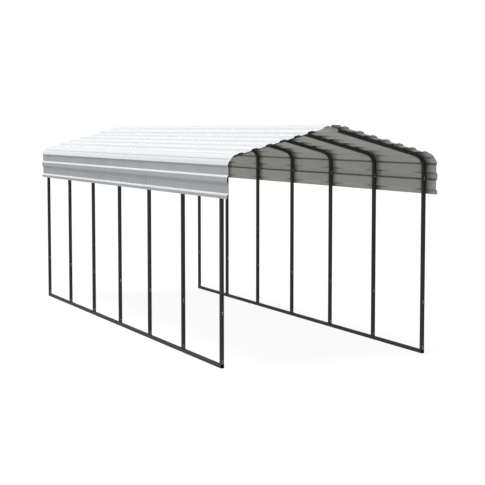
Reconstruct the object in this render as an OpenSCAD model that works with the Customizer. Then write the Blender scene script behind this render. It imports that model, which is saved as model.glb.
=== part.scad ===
// Open carport: square-tube frames stand on two base rails and carry ribbed
// steel sheets that run lengthwise and wrap round the eaves as a short skirt.
// Millimetres. X runs across, Y along with the front at -Y, and Z up.
// The origin is on the ground at the middle of the part.

/* [Frames] */
// Width over the outer faces of the legs
frame_w = 3048; // [2600:1:3600]
// Height where the leg's outer face and the rafter's top face would meet
eave_h = 2730; // [2300:1:3300]
// Slope of the roof in degrees
roof_angle = 15.3; // [11:0.1:20]
// Distance from one frame to the next
bay = 1397; // [900:1:1600]
// Number of bays between the end frames
bays = 6; // [2:1:9]

/* [Square tube] */
// Outer size of the tube
tube = 48; // [40:0.5:60]
// Wall of the tube
tube_wall = 1.5; // [1.2:0.1:2.5]
// Outer corner radius of the tube
tube_corner = 4; // [3:0.5:6]
// Inside radius of the eave bend
bend_ri = 157; // [130:1:200]
// How far each face of the tube draws in where it is bent
bend_neck = 0.4; // [0.2:0.05:0.5]

/* [Tube joints] */
// Length of the extension under each leg
extension_len = 639; // [300:1:900]
// Straight arm of the eave bend above its leg
bend_leg_arm = 187; // [110:1:240]
// Straight arm of the eave bend up the slope
bend_roof_arm = 60; // [30:1:150]
// Length of the reduced end that slides into the next tube
spigot_len = 76; // [50:1:100]
// Clearance all round a reduced end
spigot_fit = 0.3; // [0.2:0.05:0.5]
// Gap between the two rafters at the ridge
ridge_gap = 4; // [2:0.5:10]

/* [Peak plates] */
// Width of a plate across the ridge
plate_w = 328; // [240:1:400]
// Lower edge of a plate below the peak of the frame
plate_drop = 92; // [75:1:120]
// Upper edges of a plate below the rafters' top faces
plate_inset = 6; // [4:0.5:10]
// Thickness of a plate
plate_t = 2.5; // [1.5:0.1:4]

/* [Roof sheets] */
// Thickness of a sheet
sheet_t = 1; // [0.6:0.1:1.5]
// Clearance between the sheets and the frames
sheet_gap = 0.3; // [0.2:0.05:0.5]
// Reach of the sheets past the middle of each end frame
overhang = 287; // [100:1:400]
// Lower edge of the skirt below the eave height
skirt_drop = 520; // [480:1:550]
// Height of a rib
rib_h = 19; // [12:0.5:25]
// Width of a rib at its foot
rib_base = 110; // [90:1:120]
// Width of a rib across its face
rib_face = 64; // [50:1:80]
// Width of the level crown over the ridge
crown_w = 120; // [80:1:130]
// Rib beside the crown, from the ridge along the slope
ridge_rib = 146; // [142:1:160]
// First rib of the roof sheets, from the ridge along the slope
roof_rib_first = 378; // [340:1:400]
// Spacing of the ribs on the roof
roof_rib_pitch = 206.5; // [195:0.5:230]
// From the lowest rib up to the rib in the middle of the skirt
side_rib_pitch = 232; // [215:1:240]
// From the rib in the middle of the skirt up to the one on the eave bend
eave_rib_pitch = 207; // [195:1:220]
// Lowest rib's middle above the lower edge of the skirt
skirt_rib_inset = 12; // [0:1:22]
// Height of the two valleys beside the rib over the top of the bend
valley_h = 8; // [4:0.5:12]
// Flat lip beyond the lapped rib at the edge of a sheet
lap_lip = 10; // [6:1:15]
// Clearance between lapped sheets
lap_gap = 0.3; // [0.2:0.05:0.5]
// Run in which a sheet steps down beside a lap
lap_step = 12; // [8:1:20]

/* [Hidden] */
frames = bays + 1;
half_w = frame_w / 2;
rail_len = bays * bay + tube;
roof_len = bays * bay + 2 * overhang;
corner_steps = 2;
$fn = 96;

// The frame's outer line, from the peak down the slope, round the bend and down the leg
peak_h = eave_h + half_w * tan(roof_angle);
bend_angle = 90 - roof_angle;
bend_ro = bend_ri + tube;
bend_rc = bend_ri + tube / 2;
bend_tangent = bend_ro * tan(bend_angle / 2);
bend_x = half_w - bend_ro;
bend_z = eave_h - bend_tangent;
slope_len = half_w / cos(roof_angle) - bend_tangent;
bend_len = bend_ro * bend_angle * PI / 180;
bend_end = slope_len + bend_len;

leg_x = half_w - tube / 2;
extension_top = tube + extension_len;
leg_top = bend_z - bend_leg_arm;
past_ridge = 2 * tube;
arm_overlap = 0.5;

// Ribs are placed by their distance from the ridge along the frame's outer line
skirt_edge = bend_end + bend_z - (eave_h - skirt_drop);
side_rib_first = skirt_edge - skirt_rib_inset;
skirt_rib = side_rib_first - side_rib_pitch;
eave_rib = skirt_rib - eave_rib_pitch;
rib_flat_min = 40;
roof_ribs = floor((eave_rib - roof_rib_first - rib_base - rib_flat_min) / roof_rib_pitch) + 1;
eave_lap = roof_ribs - 2;
lap_rise = sheet_t + lap_gap;
lap_half = rib_base / 2 + lap_lip;
bend_step = 10;

frame_colour = "#35373a";
sheet_colour = "#f1f3f5";
plate_colour = "#b4b6b8";

// Frame 1 is at the front
function frame_y(i) = (i - 1 - bays / 2) * bay;

// A point of the right half: s along the frame's outer line from the ridge, h outward from it
function skin_point(s, h) =
    s <= slope_len ? [
        s * cos(roof_angle) + h * sin(roof_angle),
        peak_h - s * sin(roof_angle) + h * cos(roof_angle)
    ]
    : s <= bend_end ? let (turn = roof_angle + (s - slope_len) / bend_len * bend_angle) [
        bend_x + (bend_ro + h) * sin(turn),
        bend_z + (bend_ro + h) * cos(turn)
    ]
    : [half_w + h, bend_z - (s - bend_end)];

// The four corners of a rib on a face that lies h outward, as [s, h] pairs
rib_flank_angle = atan2(rib_h, (rib_base - rib_face) / 2);
function rib_spread(h) = h * tan(rib_flank_angle / 2);
function rib_rise(s, h) = [
    [s - rib_base / 2 - rib_spread(h), h],
    [s - rib_face / 2 - rib_spread(h), h + rib_h]
];
function rib_fall(s, h) = [
    [s + rib_face / 2 + rib_spread(h), h + rib_h],
    [s + rib_base / 2 + rib_spread(h), h]
];
function rib(s, h) = concat(rib_rise(s, h), rib_fall(s, h));

function roof_rib(k) = roof_rib_first + k * roof_rib_pitch;

// A run of ribs on one sheet
function roof_rib_run(first, last, h) = [for (k = [first:last]) each rib(roof_rib(k), h)];

// The last rib on the roof, the one over the top of the bend and the eave rib, with two
// shallow valleys between them
last_rib = roof_rib(roof_ribs - 1);
valley_run = (rib_h - valley_h) / tan(rib_flank_angle);
upper_valley = last_rib + rib_face / 2 + valley_run;
lower_valley = eave_rib - rib_face / 2 - valley_run;
function valley(s, h) = [s, valley_h + h / cos(rib_flank_angle)];
function bend_ribs(h) = concat(
    rib_rise(last_rib, h),
    [rib_fall(last_rib, h)[0], valley(upper_valley, h)],
    [
        [upper_valley + valley_run - rib_spread(h), h + rib_h],
        [lower_valley - valley_run + rib_spread(h), h + rib_h]
    ],
    [valley(lower_valley, h), rib_rise(eave_rib, h)[1]],
    rib_fall(eave_rib, h)
);

// The step up beside a lapped rib, that rib on top of the next sheet's, and the lip past it
function lap(s, h) = concat(
    [[s - lap_half - lap_gap - lap_step, h], [s - lap_half - lap_gap, h + lap_rise]],
    rib(s, h + lap_rise),
    [[s + lap_half, h + lap_rise]]
);

// One face of each sheet, h outward from the frame
function eave_sheet_face(h) = concat(
    [[roof_rib(eave_lap) - lap_half, h]],
    roof_rib_run(eave_lap, roof_ribs - 2, h),
    bend_ribs(h),
    rib(skirt_rib, h),
    rib_rise(side_rib_first, h),
    [[skirt_edge, h + rib_h]]
);
function roof_sheet_face(h) = concat(
    [[roof_rib(0) - lap_half, h]],
    roof_rib_run(0, eave_lap - 1, h),
    lap(roof_rib(eave_lap), h)
);
function ridge_sheet_face(h) = concat(
    [[crown_foot + rib_spread(h), h]],
    rib(ridge_rib, h),
    lap(roof_rib(0), h)
);

// Steps for a stretch of a face, so that it follows the bend
function stretch_steps(a, b) =
    b[0] > slope_len && a[0] < bend_end ? ceil((b[0] - a[0]) / bend_step) : 1;
function follow(face) = [
    for (i = [0:len(face) - 2])
        let (a = face[i], b = face[i + 1], steps = stretch_steps(a, b))
            for (j = [0:steps - 1])
                let (p = a + (b - a) * j / steps) skin_point(p[0], p[1]),
    let (end = face[len(face) - 1]) skin_point(end[0], end[1])
];

function reversed(list) = [for (i = [len(list) - 1:-1:0]) list[i]];
function mirrored(list) = [for (p = list) [-p[0], p[1]]];

inner_h = sheet_gap;
outer_h = sheet_gap + sheet_t;

// The ridge sheet's face from its left edge to its right one, with a level crown over the peak
crown_flank_angle = rib_flank_angle + roof_angle;
crown_foot = crown_w / 2 * tan(crown_flank_angle)
    / (tan(crown_flank_angle) - tan(roof_angle)) / cos(roof_angle);
function crown_edge(h) = [crown_w / 2 + h * tan(crown_flank_angle / 2), peak_h + h];
function over_ridge(h) =
    let (right = concat([crown_edge(h)], follow(ridge_sheet_face(h))))
        concat(mirrored(reversed(right)), right);

// A square outline with rounded corners
function rounded_square(size, radius) = [
    for (q = [0:3])
        for (k = [0:corner_steps])
            let (turn = 90 * (q + k / corner_steps), middle = size / 2 - radius)
                [
                    middle * sign(cos(90 * q + 45)) + radius * cos(turn),
                    middle * sign(sin(90 * q + 45)) + radius * sin(turn)
                ]
];

module tube_section(size) {
    difference() {
        polygon(rounded_square(size, tube_corner));
        polygon(rounded_square(size - 2 * tube_wall, tube_corner - tube_wall));
    }
}

module tube_length(length) {
    linear_extrude(height = length)
        tube_section(tube);
}

// The part of a reduced end that slides into the next tube
spigot = tube - 2 * tube_wall - 2 * spigot_fit;
module spigot_length(length) {
    linear_extrude(height = length)
        tube_section(spigot);
}

// A tube whose far end is drawn down to slide into the next one
module swaged_tube(length) {
    tube_length(length - tube_wall);
    translate([0, 0, length - tube_wall])
        linear_extrude(height = tube_wall)
            difference() {
                polygon(rounded_square(tube, tube_corner));
                polygon(rounded_square(spigot - 2 * tube_wall, tube_corner - tube_wall));
            }
    translate([0, 0, length])
        spigot_length(spigot_len);
}

// Places a right-hand piece at every frame, on both sides
module at_every_leg() {
    for (i = [1:frames], side = [-1, 1])
        translate([side * leg_x, frame_y(i), 0])
            children();
}

// Builds a right-hand piece on the right, or its mirror image on the left
module on_side(side) {
    mirror([side < 0 ? 1 : 0, 0, 0])
        children();
}

module base_rail(side) {
    color(frame_colour)
        translate([side * leg_x, -rail_len / 2, tube / 2])
            rotate([-90, 0, 0])
                tube_length(rail_len);
}

module rail_stubs() {
    color(frame_colour)
        at_every_leg()
            translate([0, 0, tube])
                spigot_length(spigot_len);
}

module leg_extensions() {
    color(frame_colour)
        at_every_leg()
            translate([0, 0, tube])
                swaged_tube(extension_len);
}

module leg(side, i) {
    color(frame_colour)
        translate([side * leg_x, frame_y(i), extension_top])
            swaged_tube(leg_top - extension_top);
}

// Moves to the bend's centre, with the leg at turn 0 and the rafter at bend_angle
module at_bend(i, turn) {
    translate([bend_x, frame_y(i), bend_z])
        rotate([90, 0, 0])
            rotate([0, 0, turn])
                children();
}

module eave_bend(side, i) {
    color(frame_colour)
        on_side(side) {
            translate([leg_x, frame_y(i), leg_top])
                tube_length(bend_leg_arm + arm_overlap);
            at_bend(i, 0)
                rotate_extrude(angle = bend_angle)
                    translate([bend_rc, 0])
                        tube_section(tube - 2 * bend_neck);
            at_bend(i, bend_angle)
                translate([bend_rc, -arm_overlap, 0])
                    rotate([-90, 0, 0])
                        swaged_tube(bend_roof_arm + arm_overlap);
        }
}

// Runs from the eave bend up to a plumb cut at the ridge
module rafter(side, i) {
    on_side(side)
        difference() {
            at_bend(i, bend_angle)
                translate([bend_rc, bend_roof_arm, 0])
                    rotate([-90, 0, 0])
                        tube_length(slope_len - bend_roof_arm + past_ridge);
            translate([ridge_gap / 2 - 2 * past_ridge, frame_y(i) - tube, peak_h - 2 * past_ridge])
                cube([2 * past_ridge, 2 * tube, 4 * past_ridge]);
        }
}

module rafters(i) {
    color(frame_colour) {
        rafter(-1, i);
        rafter(1, i);
    }
}

// The plate's upper edges run just below the rafters' top faces
module plate_outline() {
    plate_top = peak_h - plate_inset / cos(roof_angle);
    plate_end = plate_top - plate_w / 2 * tan(roof_angle);
    polygon([
        [-plate_w / 2, peak_h - plate_drop],
        [plate_w / 2, peak_h - plate_drop],
        [plate_w / 2, plate_end],
        [0, plate_top],
        [-plate_w / 2, plate_end]
    ]);
}

module peak_plates() {
    color(plate_colour)
        for (i = [1:frames], face = [-tube / 2, tube / 2 + plate_t])
            translate([0, frame_y(i) + face, 0])
                rotate([90, 0, 0])
                    linear_extrude(height = plate_t)
                        plate_outline();
}

module sheet(outline) {
    color(sheet_colour)
        translate([0, roof_len / 2, 0])
            rotate([90, 0, 0])
                linear_extrude(height = roof_len)
                    polygon(outline);
}

module eave_sheet(side) {
    on_side(side)
        sheet(concat(follow(eave_sheet_face(inner_h)), reversed(follow(eave_sheet_face(outer_h)))));
}

module roof_sheet(side) {
    on_side(side)
        sheet(concat(follow(roof_sheet_face(inner_h)), reversed(follow(roof_sheet_face(outer_h)))));
}

module ridge_sheet() {
    sheet(concat(over_ridge(inner_h), reversed(over_ridge(outer_h))));
}

base_rail(-1);  // left_base_rail
base_rail(1);  // right_base_rail
rail_stubs();
leg_extensions();
for (i = [1:frames]) {
    leg(-1, i);
    leg(1, i);
    eave_bend(-1, i);
    eave_bend(1, i);
    rafters(i);
}
peak_plates();
eave_sheet(-1);  // left_eave_sheet
eave_sheet(1);  // right_eave_sheet
roof_sheet(-1);  // left_roof_sheet
roof_sheet(1);  // right_roof_sheet
ridge_sheet();
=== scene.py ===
import math

import bmesh
import bpy
from mathutils import Matrix, Vector


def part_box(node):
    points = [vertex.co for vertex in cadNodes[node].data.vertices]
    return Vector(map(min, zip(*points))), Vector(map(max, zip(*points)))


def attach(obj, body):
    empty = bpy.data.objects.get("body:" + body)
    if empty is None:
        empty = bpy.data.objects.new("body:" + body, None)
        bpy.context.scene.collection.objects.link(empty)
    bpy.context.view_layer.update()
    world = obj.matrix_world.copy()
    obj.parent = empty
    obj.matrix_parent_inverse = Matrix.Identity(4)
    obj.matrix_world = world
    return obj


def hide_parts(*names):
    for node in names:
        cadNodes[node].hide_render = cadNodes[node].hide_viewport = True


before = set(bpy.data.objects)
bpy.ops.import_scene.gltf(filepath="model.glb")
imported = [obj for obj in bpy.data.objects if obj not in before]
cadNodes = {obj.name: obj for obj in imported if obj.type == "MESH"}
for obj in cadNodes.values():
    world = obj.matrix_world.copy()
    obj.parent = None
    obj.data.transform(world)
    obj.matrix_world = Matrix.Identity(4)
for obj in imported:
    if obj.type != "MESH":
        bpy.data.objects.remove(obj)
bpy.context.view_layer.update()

print("frame loaded:", len(cadNodes), "nodes")

# the carport's own lines, in metres: the same ones that the CAD nodes were drawn from
carport = {
    "frameWidth": 3.048,
    "eaveHeight": 2.730,
    "roofAngle": math.radians(15.3),
    "bendRadius": 0.205,     # outer face of the tube at the eave
    "tube": 0.048,
    "bendArm": 0.060,        # straight end of the eave bend, up the slope
    "sheetFoot": 0.0003,     # inner face of a sheet above the frame
    "sheetTop": 0.0013,      # and its outer face
    "skirtDrop": 0.520,
    "ribBase": 0.110,
    "ridgeRib": 0.146,       # ribs, measured from the ridge along the roof
    "firstRib": 0.378,
    "roofPitch": 0.2065,
    "roofRibs": 6,
    "eavePitch": 0.207,      # eave rib to the rib in the middle of the skirt
    "sidePitch": 0.232,      # and from there to the lowest rib
    "skirtInset": 0.012,     # middle of the lowest rib above the skirt's edge
}
sides = {"left": -1, "right": 1}
frameNumbers = range(1, sum(name.startswith("left_leg_") for name in cadNodes) + 1)

halfWidth = carport["frameWidth"] / 2
peakHeight = carport["eaveHeight"] + halfWidth * math.tan(carport["roofAngle"])
bendAngle = math.pi / 2 - carport["roofAngle"]
bendTangent = carport["bendRadius"] * math.tan(bendAngle / 2)
bendX = halfWidth - carport["bendRadius"]
bendZ = carport["eaveHeight"] - bendTangent
slopeLength = halfWidth / math.cos(carport["roofAngle"]) - bendTangent
slopeEdge = slopeLength * math.cos(carport["roofAngle"])
bendLength = carport["bendRadius"] * bendAngle
bendEnd = slopeLength + bendLength
skirtEnd = bendEnd + bendZ - carport["eaveHeight"] + carport["skirtDrop"]
lowestRib = skirtEnd - carport["skirtInset"]
skirtRib = lowestRib - carport["sidePitch"]
eaveRib = skirtRib - carport["eavePitch"]


def turnAt(run):     # how far the roof has turned down, at a distance from the ridge
    past = min(max(run - slopeLength, 0), bendLength)
    return carport["roofAngle"] + past / carport["bendRadius"]


def skinPoint(side, run, height, y):     # a point beside the frame's outer line, and its way out
    turn = turnAt(run)
    out = Vector((side * math.sin(turn), 0, math.cos(turn)))
    if run <= slopeLength:
        line = Vector((side * run * math.cos(turn), y, peakHeight - run * math.sin(turn)))
    elif run <= bendEnd:
        line = Vector((side * bendX, y, bendZ)) + out * carport["bendRadius"]
    else:
        line = Vector((side * halfWidth, y, bendZ - (run - bendEnd)))
    return line + out * height, out


def wayOut(point):     # outward direction of the roof and skirt at a point of a sheet
    side = 1 if point.x > 0 else -1
    if point.z < bendZ:
        return Vector((side, 0, 0))
    across, up = abs(point.x) - bendX, point.z - bendZ
    if math.atan2(across, up) > carport["roofAngle"]:
        return Vector((side * across, 0, up)).normalized()
    return Vector((side * math.sin(carport["roofAngle"]), 0, math.cos(carport["roofAngle"])))


def frameY(number):
    low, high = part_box(f"left_leg_{number}")
    return (low[1] + high[1]) / 2


def jointHeights():     # tops of the rail and of the leg extension, and foot of the eave bend
    return [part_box("left_base_rail")[1][2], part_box("left_leg_1")[0][2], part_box("left_eave_bend_1")[0][2]]


# selecting by hand, in code
def clearSelection():
    if bpy.context.object and bpy.context.object.mode != "OBJECT":
        bpy.ops.object.mode_set(mode="OBJECT")
    bpy.ops.object.select_all(action="DESELECT")


def makeActive(piece):
    clearSelection()
    piece.select_set(True)
    bpy.context.view_layer.objects.active = piece


def startEdit(piece, kind):
    makeActive(piece)
    bpy.ops.object.mode_set(mode="EDIT")
    bpy.ops.mesh.select_mode(type=kind)
    bpy.ops.mesh.select_all(action="DESELECT")


def pickFaces(piece, wanted):
    mesh = bmesh.from_edit_mesh(piece.data)
    for face in mesh.faces:
        face.select_set(bool(wanted(face)))
    bmesh.update_edit_mesh(piece.data)


def pickEdges(piece, wanted):
    mesh = bmesh.from_edit_mesh(piece.data)
    for edge in mesh.edges:
        edge.select_set(bool(wanted(edge)))
    bmesh.update_edit_mesh(piece.data)


def pickVerts(piece, wanted):
    mesh = bmesh.from_edit_mesh(piece.data)
    for vert in mesh.verts:
        vert.select_set(bool(wanted(vert)))
    mesh.select_flush_mode()
    bmesh.update_edit_mesh(piece.data)


# shader nodes
def addNode(tree, kind, inputs=None, **settings):
    node = tree.nodes.new(kind)
    for name, value in settings.items():
        setattr(node, name, value)
    for name, value in (inputs or {}).items():
        if hasattr(value, "is_output"):
            tree.links.new(value, node.inputs[name])
        else:
            node.inputs[name].default_value = value
    return node


def noise(tree, coords, scale, detail=3.0, roughness=0.55):
    values = {"Vector": coords, "Scale": scale, "Detail": detail, "Roughness": roughness}
    return addNode(tree, "ShaderNodeTexNoise", values).outputs["Fac"]


def stretched(tree, coords, scale):
    return addNode(tree, "ShaderNodeMapping", {"Vector": coords, "Scale": scale}).outputs["Vector"]


def ramp(tree, value, low, high, toLow=0.0, toHigh=1.0):
    values = {"Value": value, "From Min": low, "From Max": high, "To Min": toLow, "To Max": toHigh}
    return addNode(tree, "ShaderNodeMapRange", values, interpolation_type="SMOOTHSTEP").outputs["Result"]


def maths(tree, operation, a, b):
    return addNode(tree, "ShaderNodeMath", {0: a, 1: b}, operation=operation).outputs["Value"]


mixSockets = {"factor": 0, "first": 6, "second": 7, "result": 2}     # a colour mix's own sockets, by number


def mixed(tree, factor, first, second):
    node = addNode(tree, "ShaderNodeMix", data_type="RGBA")
    values = {"factor": factor, "first": first, "second": second}
    for name, value in values.items():
        socket = node.inputs[mixSockets[name]]
        if hasattr(value, "is_output"):
            tree.links.new(value, socket)
        else:
            socket.default_value = value
    return node.outputs[mixSockets["result"]]


def newGroup(name, inputs, outputs):
    group = bpy.data.node_groups.new(name, "ShaderNodeTree")
    for socketName, kind, value in inputs:
        socket = group.interface.new_socket(socketName, in_out="INPUT", socket_type=kind)
        if value is not None:
            socket.default_value = value
    for socketName in outputs:
        group.interface.new_socket(socketName, in_out="OUTPUT", socket_type="NodeSocketFloat")
    start = group.nodes.new("NodeGroupInput")
    end = group.nodes.new("NodeGroupOutput")
    return group, start.outputs, end.inputs


def useGroup(tree, group, values):
    return addNode(tree, "ShaderNodeGroup", values, node_tree=group).outputs


def newMaterial(name):
    material = bpy.data.materials.new(name)
    material.use_nodes = True
    tree = material.node_tree
    shader = tree.nodes["Principled BSDF"]
    coords = addNode(tree, "ShaderNodeTexCoord").outputs["Object"]
    return material, tree, shader, coords


def setBump(tree, shader, height, strength, distance):
    values = {"Strength": strength, "Distance": distance, "Height": height}
    bump = addNode(tree, "ShaderNodeBump", values)
    tree.links.new(bump.outputs["Normal"], shader.inputs["Normal"])


# sprayed paint: the fine peel of the coat and a slow clouding of its colour
def makePaintCoat():
    group, start, end = newGroup(
        "paintCoat",
        [
            ("Coordinates", "NodeSocketVector", None),
            ("Peel", "NodeSocketFloat", 320.0),
            ("Cloud", "NodeSocketFloat", 2.4),
        ],
        ["Height", "Shade"],
    )
    peel = noise(group, start["Coordinates"], start["Peel"], detail=2.0)
    cloud = noise(group, start["Coordinates"], start["Cloud"], detail=4.0)
    group.links.new(peel, end["Height"])
    group.links.new(ramp(group, cloud, low=0.3, high=0.7), end["Shade"])
    return group


# rain and dust running down the slopes and the skirt, so the marks are long across the roof
def makeRainMarks():
    group, start, end = newGroup(
        "rainMarks",
        [
            ("Coordinates", "NodeSocketVector", None),
            ("Width", "NodeSocketFloat", 9.0),
            ("Cover", "NodeSocketFloat", 0.5),
        ],
        ["Mask"],
    )
    run = stretched(group, start["Coordinates"], scale=(0.12, 1.0, 0.12))
    lines = noise(group, run, start["Width"], detail=6.0, roughness=0.65)
    patches = noise(group, start["Coordinates"], scale=1.1, detail=3.0)
    streaks = ramp(group, lines, low=0.42, high=0.72)
    marks = maths(group, "MULTIPLY", streaks, ramp(group, patches, low=0.35, high=0.65))
    group.links.new(maths(group, "MULTIPLY", marks, start["Cover"]), end["Mask"])
    return group


# dust that settles low down and fades with height; it also paints in the paler look that the floor's bounced
# light gives the lowest tubes
def makeGroundDustAndPaintedLight():
    group, start, end = newGroup(
        "groundDustAndPaintedLight",
        [
            ("Coordinates", "NodeSocketVector", None),
            ("Reach", "NodeSocketFloat", 0.3),
            ("Cover", "NodeSocketFloat", 0.5),
        ],
        ["Mask"],
    )
    height = addNode(group, "ShaderNodeSeparateXYZ", {"Vector": start["Coordinates"]}).outputs["Z"]
    share = maths(group, "SUBTRACT", 1.0, maths(group, "DIVIDE", height, start["Reach"]))
    grains = noise(group, start["Coordinates"], scale=38.0, detail=5.0, roughness=0.7)
    spots = ramp(group, grains, low=0.25, high=0.75, toLow=0.45)
    falling = ramp(group, share, low=0.0, high=1.0)
    covered = maths(group, "MULTIPLY", falling, start["Cover"])
    group.links.new(maths(group, "MULTIPLY", covered, spots), end["Mask"])
    return group


# short rubbed marks from handling
def makeScuffs():
    group, start, end = newGroup(
        "scuffs",
        [
            ("Coordinates", "NodeSocketVector", None),
            ("Size", "NodeSocketFloat", 14.0),
            ("Cover", "NodeSocketFloat", 0.5),
        ],
        ["Mask"],
    )
    places = ramp(group, noise(group, start["Coordinates"], start["Size"], detail=3.0), low=0.58, high=0.7)
    upright = stretched(group, start["Coordinates"], scale=(1.0, 1.0, 0.15))
    scratches = noise(group, upright, scale=260.0, detail=4.0, roughness=0.7)
    hairs = ramp(group, scratches, low=0.45, high=0.7)
    marks = maths(group, "MULTIPLY", places, hairs)
    group.links.new(maths(group, "MULTIPLY", marks, start["Cover"]), end["Mask"])
    return group


# a thin dark line where two tubes meet
def makeJointLine():
    group, start, end = newGroup(
        "jointLine",
        [
            ("Along", "NodeSocketFloat", 0.0),
            ("Place", "NodeSocketFloat", 0.0),
            ("Width", "NodeSocketFloat", 0.0016),
        ],
        ["Mask"],
    )
    offset = maths(group, "SUBTRACT", start["Along"], start["Place"])
    away = addNode(group, "ShaderNodeMath", {0: offset}, operation="ABSOLUTE").outputs["Value"]
    share = maths(group, "DIVIDE", away, maths(group, "MULTIPLY", start["Width"], 0.5))
    group.links.new(ramp(group, share, low=0.5, high=1.0, toLow=1.0, toHigh=0.0), end["Mask"])
    return group


# painted shade on ledges, where a surface looks upwards: dark lines on the inner rib sides that face the
# roof's underside
def makeLedgeShade():
    group, start, end = newGroup(
        "ledgeShade",
        [
            ("Coordinates", "NodeSocketVector", None),
            ("Normal", "NodeSocketVector", None),
            ("Cover", "NodeSocketFloat", 0.8),
        ],
        ["Mask"],
    )
    upwards = addNode(group, "ShaderNodeSeparateXYZ", {"Vector": start["Normal"]}).outputs["Z"]
    grains = noise(group, start["Coordinates"], scale=16.0, detail=4.0)
    spots = ramp(group, grains, low=0.3, high=0.7, toLow=0.75)
    covered = maths(group, "MULTIPLY", ramp(group, upwards, low=0.08, high=0.4), start["Cover"])
    group.links.new(maths(group, "MULTIPLY", covered, spots), end["Mask"])
    return group


# painted shade beside every frame, where the sheet meets the rafter: the frames stand at even distances from
# the middle
def makeFrameShade():
    group, start, end = newGroup(
        "frameShade",
        [
            ("Coordinates", "NodeSocketVector", None),
            ("Spacing", "NodeSocketFloat", 1.4),
            ("Start", "NodeSocketFloat", 0.02),
            ("Reach", "NodeSocketFloat", 0.1),
            ("Cover", "NodeSocketFloat", 0.5),
        ],
        ["Mask"],
    )
    along = addNode(group, "ShaderNodeSeparateXYZ", {"Vector": start["Coordinates"]}).outputs["Y"]
    halfWay = maths(group, "MULTIPLY", start["Spacing"], 0.5)
    away = maths(group, "SUBTRACT", maths(group, "PINGPONG", along, halfWay), start["Start"])
    share = maths(group, "DIVIDE", away, start["Reach"])
    blurred = ramp(group, share, low=0.0, high=1.0, toLow=1.0, toHigh=0.0)
    grains = noise(group, start["Coordinates"], scale=12.0, detail=5.0)
    spots = ramp(group, grains, low=0.25, high=0.75, toLow=0.55)
    covered = maths(group, "MULTIPLY", blurred, start["Cover"])
    group.links.new(maths(group, "MULTIPLY", covered, spots), end["Mask"])
    return group


# painted shade in the flats between the ribs of the two slopes, left off the ribs themselves
def makeFlatsShade():
    group, start, end = newGroup(
        "flatsShade",
        [
            ("Coordinates", "NodeSocketVector", None),
            ("Peak", "NodeSocketFloat", 3.1),
            ("Fall", "NodeSocketFloat", 0.27),
            ("Edge", "NodeSocketFloat", 1.37),
        ],
        ["Mask"],
    )
    place = addNode(group, "ShaderNodeSeparateXYZ", {"Vector": start["Coordinates"]}).outputs
    across = addNode(group, "ShaderNodeMath", {0: place["X"]}, operation="ABSOLUTE").outputs["Value"]
    frameLine = maths(group, "SUBTRACT", start["Peak"], maths(group, "MULTIPLY", across, start["Fall"]))
    above = maths(group, "SUBTRACT", place["Z"], frameLine)
    lowDown = ramp(group, above, low=0.004, high=0.014, toLow=1.0, toHigh=0.0)
    pastEdge = maths(group, "SUBTRACT", across, start["Edge"])
    onSlope = ramp(group, pastEdge, low=-0.02, high=0.0, toLow=1.0, toHigh=0.0)
    group.links.new(maths(group, "MULTIPLY", lowDown, onSlope), end["Mask"])
    return group


paintCoat = makePaintCoat()
rainMarks = makeRainMarks()
flatsShade = makeFlatsShade()
groundDustAndPaintedLight = makeGroundDustAndPaintedLight()
scuffs = makeScuffs()
jointLine = makeJointLine()
ledgeShade = makeLedgeShade()
frameShade = makeFrameShade()
print("shared surface effects built")

# charcoal paint on every tube
charcoal = {
    "colour": (0.051, 0.0515, 0.0535, 1),
    "cloud": 3.2,
    "cloudShare": 1.25,      # how much lighter the clouds in the coat are
    "worn": (0.062, 0.063, 0.065, 1),
    "wornSize": 9.0,
    "wornCover": 0.20,
    # paler low down: dust, and painted light from the floor's bounce on the lowest tubes
    "dustAndPaintedLight": (0.150, 0.145, 0.135, 1),
    "dustReach": 0.34,
    "dustCover": 0.42,
    "dustRoughness": 0.4,
    "seam": (0.004, 0.004, 0.004, 1),
    "seamDepth": 4.0,
    "roughness": (0.46, 0.60),
    "specular": 0.22,
    "peel": 420.0,
    "bump": (0.12, 0.0004),      # strength and distance
}


def makeCharcoal():
    material, tree, shader, coords = newMaterial("charcoalPaint")
    sprayed = {"Coordinates": coords, "Peel": charcoal["peel"], "Cloud": charcoal["cloud"]}
    coat = useGroup(tree, paintCoat, sprayed)
    handled = {"Coordinates": coords, "Size": charcoal["wornSize"], "Cover": charcoal["wornCover"]}
    rubbed = useGroup(tree, scuffs, handled)["Mask"]
    settled = {"Coordinates": coords, "Reach": charcoal["dustReach"], "Cover": charcoal["dustCover"]}
    dustAndPaintedLight = useGroup(tree, groundDustAndPaintedLight, settled)["Mask"]
    place = addNode(tree, "ShaderNodeSeparateXYZ", {"Vector": coords}).outputs
    seams = None
    for height in jointHeights():
        line = useGroup(tree, jointLine, {"Along": place["Z"], "Place": height})["Mask"]
        seams = line if seams is None else maths(tree, "MAXIMUM", seams, line)
    paler = tuple(part * charcoal["cloudShare"] for part in charcoal["colour"])
    clouded = mixed(tree, coat["Shade"], charcoal["colour"], paler)
    scuffed = mixed(tree, rubbed, clouded, charcoal["worn"])
    # paler low down: dust, and painted light from the floor's bounce on the lowest tubes
    withPaintedLight = mixed(tree, dustAndPaintedLight, scuffed, charcoal["dustAndPaintedLight"])
    tree.links.new(mixed(tree, seams, withPaintedLight, charcoal["seam"]), shader.inputs["Base Color"])
    rough = ramp(tree, coat["Shade"], 0.0, 1.0, *charcoal["roughness"])
    dulled = maths(tree, "ADD", rough, maths(tree, "MULTIPLY", dustAndPaintedLight, charcoal["dustRoughness"]))
    tree.links.new(dulled, shader.inputs["Roughness"])
    shader.inputs["Specular IOR Level"].default_value = charcoal["specular"]
    sunk = maths(tree, "MULTIPLY", seams, charcoal["seamDepth"])
    setBump(tree, shader, maths(tree, "SUBTRACT", coat["Height"], sunk), *charcoal["bump"])
    return material


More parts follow.
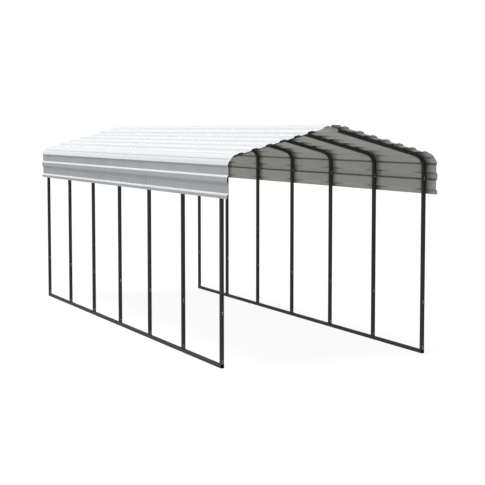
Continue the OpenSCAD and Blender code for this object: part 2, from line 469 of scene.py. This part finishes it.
# white coat on the weather side of the sheets
whiteSheet = {
    "colour": (0.80, 0.82, 0.845, 1),
    "shade": (0.76, 0.78, 0.81, 1),
    "cloud": 0.9,
    "flats": (0.67, 0.725, 0.79, 1),     # painted shade, bluish, on the flats between the ribs
    "dirt": (0.55, 0.54, 0.515, 1),
    "dirtWidth": 7.0,
    "dirtCover": 0.07,
    "dirtRoughness": 0.5,
    "roughness": (0.26, 0.36),
    "specular": 0.50,
    "gloss": 1.0,        # clear baked coat over the white
    "glossRoughness": 0.05,
    "glossIndex": 2.0,
    "peel": 300.0,
    "peelHeight": 0.03,
    "wave": 1.3,         # slow waves that thin sheet shows between its fixings
    "waveStretch": (2.0, 0.7, 2.0),
    "waveHeight": 0.3,
    "bump": (0.25, 0.002),
}


def makeWhiteSheet():
    material, tree, shader, coords = newMaterial("whiteSheetPaint")
    sprayed = {"Coordinates": coords, "Peel": whiteSheet["peel"], "Cloud": whiteSheet["cloud"]}
    coat = useGroup(tree, paintCoat, sprayed)
    washed = {"Coordinates": coords, "Width": whiteSheet["dirtWidth"], "Cover": whiteSheet["dirtCover"]}
    dirt = useGroup(tree, rainMarks, washed)["Mask"]
    clouded = mixed(tree, coat["Shade"], whiteSheet["shade"], whiteSheet["colour"])
    roofLine = {"Peak": peakHeight, "Fall": math.tan(carport["roofAngle"]), "Edge": slopeEdge}
    low = useGroup(tree, flatsShade, {"Coordinates": coords, **roofLine})["Mask"]
    # painted shade: the flats between the roof ribs take a darker bluish colour
    withPaintedLight = mixed(tree, low, clouded, whiteSheet["flats"])
    tree.links.new(mixed(tree, dirt, withPaintedLight, whiteSheet["dirt"]), shader.inputs["Base Color"])
    rough = ramp(tree, coat["Shade"], 0.0, 1.0, *whiteSheet["roughness"])
    dulled = maths(tree, "ADD", rough, maths(tree, "MULTIPLY", dirt, whiteSheet["dirtRoughness"]))
    tree.links.new(dulled, shader.inputs["Roughness"])
    shader.inputs["Specular IOR Level"].default_value = whiteSheet["specular"]
    shader.inputs["Coat Weight"].default_value = whiteSheet["gloss"]
    shader.inputs["Coat Roughness"].default_value = whiteSheet["glossRoughness"]
    shader.inputs["Coat IOR"].default_value = whiteSheet["glossIndex"]
    long = stretched(tree, coords, whiteSheet["waveStretch"])
    waves = noise(tree, long, whiteSheet["wave"], detail=1.0)
    swell = maths(tree, "MULTIPLY", waves, whiteSheet["waveHeight"])
    grain = maths(tree, "MULTIPLY", coat["Height"], whiteSheet["peelHeight"])
    setBump(tree, shader, maths(tree, "ADD", swell, grain), *whiteSheet["bump"])
    return material


# thin grey coat on the inner side of the sheets
innerSheet = {
    "colour": (0.70, 0.70, 0.665, 1),
    "shade": (0.65, 0.65, 0.615, 1),
    "cloud": 1.6,
    "dirt": (0.48, 0.475, 0.45, 1),
    "dirtWidth": 5.0,
    "dirtCover": 0.22,
    # painted shade: a near-black colour laid on the inner sheet beside the frames and on its upward ledges
    "paintedShade": (0.08, 0.08, 0.075, 1),
    "ledgeCover": 0.80,
    "flatPaintedShade": (0.75, 0.18),     # painted shade on the flats: cover, and how far it goes from a frame
    "ribPaintedShade": (1.00, 0.45),      # the same painted shade on the sides of the ribs
    "roughness": (0.48, 0.62),
    "specular": 0.3,
    "peel": 260.0,
    "bump": (0.1, 0.0004),
}


def makeInnerSheet(name, cover, reach):
    material, tree, shader, coords = newMaterial(name)
    sprayed = {"Coordinates": coords, "Peel": innerSheet["peel"], "Cloud": innerSheet["cloud"]}
    coat = useGroup(tree, paintCoat, sprayed)
    washed = {"Coordinates": coords, "Width": innerSheet["dirtWidth"], "Cover": innerSheet["dirtCover"]}
    dirt = useGroup(tree, rainMarks, washed)["Mask"]
    clouded = mixed(tree, coat["Shade"], innerSheet["shade"], innerSheet["colour"])
    aged = mixed(tree, dirt, clouded, innerSheet["dirt"])
    normal = addNode(tree, "ShaderNodeTexCoord").outputs["Normal"]
    onLedges = {"Coordinates": coords, "Normal": normal, "Cover": innerSheet["ledgeCover"]}
    shadedLedges = useGroup(tree, ledgeShade, onLedges)["Mask"]
    besideFrames = {
        "Coordinates": coords,
        "Spacing": frameY(2) - frameY(1),
        "Start": carport["tube"] / 2,
        "Reach": reach,
        "Cover": cover,
    }
    # painted shade: beside the frames and on upward ledges the inner coat is darkened to near black
    paintedShade = maths(tree, "MAXIMUM", shadedLedges, useGroup(tree, frameShade, besideFrames)["Mask"])
    tree.links.new(mixed(tree, paintedShade, aged, innerSheet["paintedShade"]), shader.inputs["Base Color"])
    rough = ramp(tree, coat["Shade"], 0.0, 1.0, *innerSheet["roughness"])
    tree.links.new(rough, shader.inputs["Roughness"])
    shader.inputs["Specular IOR Level"].default_value = innerSheet["specular"]
    setBump(tree, shader, coat["Height"], *innerSheet["bump"])
    return material


# galvanised steel, with its crystal pattern, for plates, screws and cut sheet edges
zinc = {
    "bright": (0.90, 0.90, 0.905, 1),
    "dull": (0.70, 0.705, 0.71, 1),
    "stain": (0.36, 0.355, 0.34, 1),
    "stainSize": 11.0,
    "grain": 4.0,            # how much finer the grain is than the crystals
    "grainShare": 0.3,
    "roughness": (0.38, 0.58),
    "bump": (0.08, 0.0003),
}
plateZinc = {"crystal": 70.0, "metallic": 0.65, "stainCover": 0.25}
screwZinc = {"crystal": 420.0, "metallic": 0.40, "stainCover": 0.30}


def makeZinc(name, kind):
    material, tree, shader, coords = newMaterial(name)
    pattern = {"Vector": coords, "Scale": kind["crystal"], "Randomness": 1.0}
    cells = addNode(tree, "ShaderNodeTexVoronoi", pattern)
    tone = addNode(tree, "ShaderNodeSeparateColor", {"Color": cells.outputs["Color"]}).outputs["Red"]
    grain = noise(tree, coords, kind["crystal"] * zinc["grain"], detail=4.0)
    fromCells = maths(tree, "MULTIPLY", tone, 1 - zinc["grainShare"])
    mixTone = maths(tree, "ADD", fromCells, maths(tree, "MULTIPLY", grain, zinc["grainShare"]))
    marked = {"Coordinates": coords, "Size": zinc["stainSize"], "Cover": kind["stainCover"]}
    stain = useGroup(tree, scuffs, marked)["Mask"]
    crystals = mixed(tree, mixTone, zinc["dull"], zinc["bright"])
    tree.links.new(mixed(tree, stain, crystals, zinc["stain"]), shader.inputs["Base Color"])
    tree.links.new(ramp(tree, mixTone, 0.0, 1.0, *zinc["roughness"]), shader.inputs["Roughness"])
    shader.inputs["Metallic"].default_value = kind["metallic"]
    setBump(tree, shader, grain, *zinc["bump"])
    return material


charcoalPaint = makeCharcoal()
whiteSheetPaint = makeWhiteSheet()
innerFlatCoat = makeInnerSheet("innerFlatCoat", *innerSheet["flatPaintedShade"])
innerRibCoat = makeInnerSheet("innerRibCoat", *innerSheet["ribPaintedShade"])
zincPlate = makeZinc("zincPlate", plateZinc)
zincScrew = makeZinc("zincScrew", screwZinc)
print("materials built")

# finishes on the CAD nodes that keep their shape
sheetNodes = ["left_eave_sheet", "right_eave_sheet", "left_roof_sheet", "right_roof_sheet", "ridge_sheet"]
for name, node in cadNodes.items():
    if name in sheetNodes:
        continue
    node.material_slots[0].material = zincPlate if name == "peak_plates" else charcoalPaint

# the sheets again, with rolled corners on their ribs in place of sharp folds
rolledSheets = {
    "cornerSize": 0.0035,
    "cornerSteps": 3,
    "foldAngles": (math.radians(8), math.radians(85)),     # folds lie between these, cut edges above
    "smoothAngle": math.radians(30),
    "mergeWithin": 0.00001,
    "flatWithin": math.radians(0.5),
    "slack": (0.0003, math.radians(0.5)),     # in finding points of a face by radius and turn
    "edgeShare": 0.3,        # a face that looks out or in less than this is a cut edge
    "flatShare": 0.95,       # and an inner one that looks in more than this is a flat
}


def straightenSkirt(sheet, side):     # the flat under the eave rib hangs plumb past the end of the bend
    nearby, turnSlack = rolledSheets["slack"]
    firstTurn = turnAt(eaveRib + carport["ribBase"] / 2) - turnSlack
    bpy.ops.mesh.select_mode(type="VERT")
    for height in (carport["sheetTop"], carport["sheetFoot"]):     # the inner face last, clear of the outer

        def underRib(vert):
            across, up = side * vert.co.x - bendX, vert.co.z - bendZ
            onFace = abs(math.hypot(across, up) - carport["bendRadius"] - height) < nearby
            return onFace and up > -nearby and math.atan2(across, up) > firstTurn

        pickVerts(sheet, underRib)
        plumbLine = (side * (halfWidth + height), 0, 0)
        bpy.ops.transform.resize(value=(0, 1, 1), center_override=plumbLine)
    bpy.ops.mesh.select_mode(type="EDGE")
    bpy.ops.mesh.select_all(action="SELECT")


def rollSheet(nodeName):
    mesh = cadNodes[nodeName].data.copy()
    sheet = bpy.data.objects.new(nodeName + ".rolled", mesh)
    bpy.context.scene.collection.objects.link(sheet)
    startEdit(sheet, "EDGE")
    bpy.ops.mesh.select_all(action="SELECT")
    bpy.ops.mesh.remove_doubles(threshold=rolledSheets["mergeWithin"])     # CAD triangles come loose
    bpy.ops.mesh.customdata_custom_splitnormals_clear()
    if nodeName.endswith("_eave_sheet"):
        straightenSkirt(sheet, sides[nodeName.split("_")[0]])
    bpy.ops.mesh.dissolve_limited(angle_limit=rolledSheets["flatWithin"])
    flattest, steepest = rolledSheets["foldAngles"]

    def isFold(edge):
        return len(edge.link_faces) == 2 and flattest < edge.calc_face_angle() < steepest

    pickEdges(sheet, isFold)
    corner = {"offset": rolledSheets["cornerSize"], "segments": rolledSheets["cornerSteps"]}
    bpy.ops.mesh.bevel(affect="EDGES", **corner)
    coatSheet(sheet)
    bpy.ops.object.mode_set(mode="OBJECT")
    bpy.ops.object.shade_smooth_by_angle(angle=rolledSheets["smoothAngle"])
    weighted = sheet.modifiers.new("flatFaces", "WEIGHTED_NORMAL")
    weighted.keep_sharp = True
    bpy.ops.object.modifier_apply(modifier=weighted.name)
    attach(sheet, "root")
    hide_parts(nodeName)
    return sheet


def coatSheet(sheet):     # weather side, inner flats, inner sides of the ribs, and cut edges
    edge, flat = rolledSheets["edgeShare"], rolledSheets["flatShare"]
    coats = (
        (whiteSheetPaint, lambda out: out > edge),
        (innerFlatCoat, lambda out: out < -flat),
        (innerRibCoat, lambda out: -flat <= out < -edge),
        (zincPlate, lambda out: abs(out) <= edge),
    )
    sheet.data.materials.clear()
    bpy.ops.mesh.select_mode(type="FACE")
    for index, (material, belongs) in enumerate(coats):
        sheet.data.materials.append(material)
        pickFaces(sheet, lambda face: belongs(face.normal.dot(wayOut(face.calc_center_median()))))
        sheet.active_material_index = index
        bpy.ops.object.material_slot_assign()


for name in sheetNodes:
    rolled = rollSheet(name)
    print("sheet rolled:", rolled.name, len(rolled.data.polygons), "faces")

# self-drilling screws with a hexagon head on a round flange: radii, with the head's over its corners
frameScrew = {
    "flange": 0.0068,
    "flangeHeight": 0.0012,
    "head": 0.0046,
    "headHeight": 0.0042,
    "headRound": 0.0006,
    "slot": "galvanised_plate",
}
sheetScrew = {
    "flange": 0.0080,        # with a sealing washer under it
    "flangeHeight": 0.0013,
    "head": 0.0046,
    "headHeight": 0.0045,
    "headRound": 0.0006,
    "slot": "sheet_paint",
}
screwShape = {
    "corners": 12,           # of the flange, two for each corner of the hexagon
    "smoothAngle": math.radians(28),
    "upShare": 0.9,          # a face that looks up more than this is a top
}


def modelScrew(screwSizes, material):     # once, at the origin, pointing up
    bpy.ops.mesh.primitive_cylinder_add(
        vertices=screwShape["corners"],
        radius=screwSizes["flange"],
        depth=screwSizes["flangeHeight"],
        location=(0, 0, screwSizes["flangeHeight"] / 2),
    )
    screw = bpy.context.object
    screw.name = "screwPattern"
    makeActive(screw)
    bpy.ops.object.transform_apply(location=True, rotation=True, scale=True)
    startEdit(screw, "FACE")
    pickFaces(screw, lambda face: face.normal.z > screwShape["upShare"])
    bpy.ops.mesh.inset(thickness=screwSizes["flange"] - screwSizes["head"], depth=0)
    bpy.ops.mesh.extrude_region_move(TRANSFORM_OT_translate={"value": (0, 0, screwSizes["headHeight"])})
    bpy.ops.mesh.select_mode(type="VERT")
    headFoot = screwSizes["flangeHeight"]
    headMiddle = headFoot + screwSizes["headHeight"] / 2
    headReach = (screwSizes["head"] + screwSizes["flange"]) / 2
    cornerStep = 2 * math.pi / screwShape["corners"]

    def flatMiddle(vert):     # every second corner of the head goes in, which leaves a hexagon
        step = round(math.atan2(vert.co.y, vert.co.x) / cornerStep)
        return vert.co.xy.length < headReach and vert.co.z > headFoot / 2 and step % 2 == 0

    pickVerts(screw, flatMiddle)
    hexShare = math.cos(cornerStep)
    bpy.ops.transform.resize(value=(hexShare, hexShare, 1), center_override=(0, 0, headFoot))
    bpy.ops.mesh.select_mode(type="FACE")

    def headTop(face):
        return face.normal.z > screwShape["upShare"] and face.calc_center_median().z > headMiddle

    pickFaces(screw, headTop)
    bpy.ops.mesh.inset(thickness=screwSizes["headRound"], depth=0)
    pickFaces(screw, lambda face: headTop(face) and len(face.verts) == screwShape["corners"])
    bpy.ops.transform.translate(value=(0, 0, screwSizes["headRound"]))
    bpy.ops.object.mode_set(mode="OBJECT")
    screw.data.materials.append(material)
    bpy.ops.object.shade_smooth_by_angle(angle=screwShape["smoothAngle"])
    clearSelection()
    return screw


def placeScrews(name, pattern, spots):     # one piece from a few copies of the screw
    copies = []
    for point, out in spots:
        copy = bpy.data.objects.new(name, pattern.data.copy())
        bpy.context.scene.collection.objects.link(copy)
        copy.matrix_world = Matrix.Translation(point) @ out.to_track_quat("Z", "Y").to_matrix().to_4x4()
        copies.append(copy)
    clearSelection()
    for copy in copies:
        copy.select_set(True)
    bpy.context.view_layer.objects.active = copies[0]
    bpy.ops.object.transform_apply(location=True, rotation=True, scale=True)
    bpy.ops.object.join()
    row = bpy.context.object
    row.name = name
    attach(row, "root")
    return row


# pairs of screws at the foot of each tube of a leg, on the face towards the front
legScrews = {"count": 2, "firstAbove": 0.019, "apart": 0.027}
rafterScrews = {"count": 2, "firstPast": 0.019, "apart": 0.027}
plateScrews = {"along": (0.048, 0.128), "below": 0.026}


def legSpots(side, number):
    low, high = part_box(f"{side}_leg_{number}")
    spots = []
    for seam in jointHeights():
        for step in range(legScrews["count"]):
            height = seam + legScrews["firstAbove"] + step * legScrews["apart"]
            spots.append((Vector(((low[0] + high[0]) / 2, low[1], height)), Vector((0, -1, 0))))
    return spots


def rafterSpots(side, number):     # under the rafter, where it slides over the eave bend
    seam = slopeLength - carport["bendArm"]
    spots = []
    for step in range(rafterScrews["count"]):
        run = seam - rafterScrews["firstPast"] - step * rafterScrews["apart"]
        point, out = skinPoint(sides[side], run, -carport["tube"], frameY(number))
        spots.append((point, -out))
    return spots


def plateSpots(number, face):     # four screws through a peak plate into the two rafters
    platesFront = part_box("peak_plates")[0][1]
    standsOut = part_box("left_leg_1")[0][1] - platesFront
    y = frameY(number) + face * (carport["tube"] / 2 + standsOut)
    spots = []
    for side in sides.values():
        for run in plateScrews["along"]:
            point = skinPoint(side, run, -plateScrews["below"], y)[0]
            spots.append((point, Vector((0, face, 0))))
    return spots


zincPattern = modelScrew(frameScrew, zincScrew)
for number in frameNumbers:
    for side in sides:
        placeScrews(f"legScrews.{side}.{number}", zincPattern, legSpots(side, number))
        placeScrews(f"rafterScrews.{side}.{number}", zincPattern, rafterSpots(side, number))
    placeScrews(f"plateScrews.front.{number}", zincPattern, plateSpots(number, -1))
    placeScrews(f"plateScrews.rear.{number}", zincPattern, plateSpots(number, 1))
bpy.data.objects.remove(zincPattern)
print("frame screws placed")

# white-headed screws hold the sheets, one in each flat between two ribs, over every frame
def flatRuns():     # middles of the flats, from the ridge to the skirt's edge: the bend has none
    roof = [carport["firstRib"] + k * carport["roofPitch"] for k in range(carport["roofRibs"])]
    roof.insert(0, carport["ridgeRib"])
    skirt = [eaveRib, skirtRib, lowestRib]
    pairs = list(zip(roof, roof[1:])) + list(zip(skirt, skirt[1:]))
    return [(above + below) / 2 for above, below in pairs]


def sheetSpots(number):
    spots = []
    for side in sides.values():
        for run in flatRuns():
            spots.append(skinPoint(side, run, carport["sheetTop"], frameY(number)))
    return spots


whitePattern = modelScrew(sheetScrew, whiteSheetPaint)
for number in frameNumbers:
    placeScrews(f"sheetScrews.{number}", whitePattern, sheetSpots(number))
bpy.data.objects.remove(whitePattern)
print("sheet screws placed")

# plain studio: pale floor, white surround, one broad soft lamp high on the left
studio = {
    "floorSize": 2000.0,
    "floorDrop": 0.001,
    "floorSeen": (0.90, 0.90, 0.90, 1),
    "floorBounce": (0.04, 0.04, 0.04, 1),
    "floorRoughness": 0.9,
    "floorLift": 0.46,       # even light from below, as from a lit table
    "floorMirrored": 0.25,   # the pale floor in reflections
    "floorGlow": 0.88,       # share of plain white where the camera sees the floor
    "dome": 0.13,
    "lampPower": 2.92,
    "lampSpread": math.radians(30),
    "lampTilt": math.radians(13),
}


def seenDirectly(tree):     # what the camera sees, and what mirror and glass rays see
    path = addNode(tree, "ShaderNodeLightPath").outputs
    mirrored = maths(tree, "MAXIMUM", path["Is Glossy Ray"], path["Is Transmission Ray"])
    return path["Is Camera Ray"], mirrored


def mixShaders(tree, factor, first, second):
    blend = tree.nodes.new("ShaderNodeMixShader")
    for socket, source in zip(blend.inputs, (factor, first, second)):
        tree.links.new(source, socket)
    return blend.outputs["Shader"]


def makeFloor():
    clearSelection()
    justBelow = (0, 0, -studio["floorDrop"])
    bpy.ops.mesh.primitive_plane_add(size=studio["floorSize"], location=justBelow)
    floor = bpy.context.object
    floor.name = "studioFloor"
    material, tree, shader = newMaterial("paleFloor")[:3]
    seen, mirrored = seenDirectly(tree)
    colour = mixed(tree, seen, studio["floorBounce"], studio["floorSeen"])
    tree.links.new(colour, shader.inputs["Base Color"])
    shader.inputs["Roughness"].default_value = studio["floorRoughness"]
    shader.inputs["Specular IOR Level"].default_value = 0.0
    shader.inputs["Emission Color"].default_value = (1, 1, 1, 1)
    shader.inputs["Emission Strength"].default_value = studio["floorLift"]
    glow = addNode(tree, "ShaderNodeEmission", {"Strength": 1.0}).outputs["Emission"]
    pale = addNode(tree, "ShaderNodeEmission", {"Strength": studio["floorMirrored"]}).outputs["Emission"]
    share = maths(tree, "MULTIPLY", seen, studio["floorGlow"])
    surface = mixShaders(tree, share, shader.outputs["BSDF"], glow)
    surface = mixShaders(tree, mirrored, surface, pale)
    tree.links.new(surface, tree.nodes["Material Output"].inputs["Surface"])
    floor.data.materials.append(material)


def makeSurround():
    world = bpy.data.worlds.new("studioWorld")
    world.use_nodes = True
    tree = world.node_tree
    background = tree.nodes["Background"]
    background.inputs["Color"].default_value = (1, 1, 1, 1)
    white = maths(tree, "MAXIMUM", *seenDirectly(tree))
    tree.links.new(ramp(tree, white, 0.0, 1.0, studio["dome"], 1.0), background.inputs["Strength"])
    bpy.context.scene.world = world


def makeLamp():
    bpy.ops.object.light_add(type="SUN", rotation=(0, -studio["lampTilt"], 0))
    lamp = bpy.context.object
    lamp.name = "overheadLamp"
    lamp.data.energy = studio["lampPower"]
    lamp.data.angle = studio["lampSpread"]


makeFloor()
makeSurround()
makeLamp()

# the photograph's view
viewpoint = {
    "place": (-8.0991, -20.1415, 3.0762),
    "down": math.radians(4.764),
    "turn": math.radians(-23.37),
    "lens": 99.80,
    "sensor": 36.0,
    "reach": 1000.0,         # how far the camera sees
}


def makeCamera():
    tilt = (math.pi / 2 - viewpoint["down"], 0, viewpoint["turn"])
    bpy.ops.object.camera_add(location=viewpoint["place"], rotation=tilt)
    camera = bpy.context.object
    camera.data.sensor_width = viewpoint["sensor"]
    camera.data.lens = viewpoint["lens"]
    camera.data.clip_end = viewpoint["reach"]
    bpy.context.scene.camera = camera


makeCamera()
bpy.context.scene.view_settings.view_transform = "Standard"
print("studio and camera set")
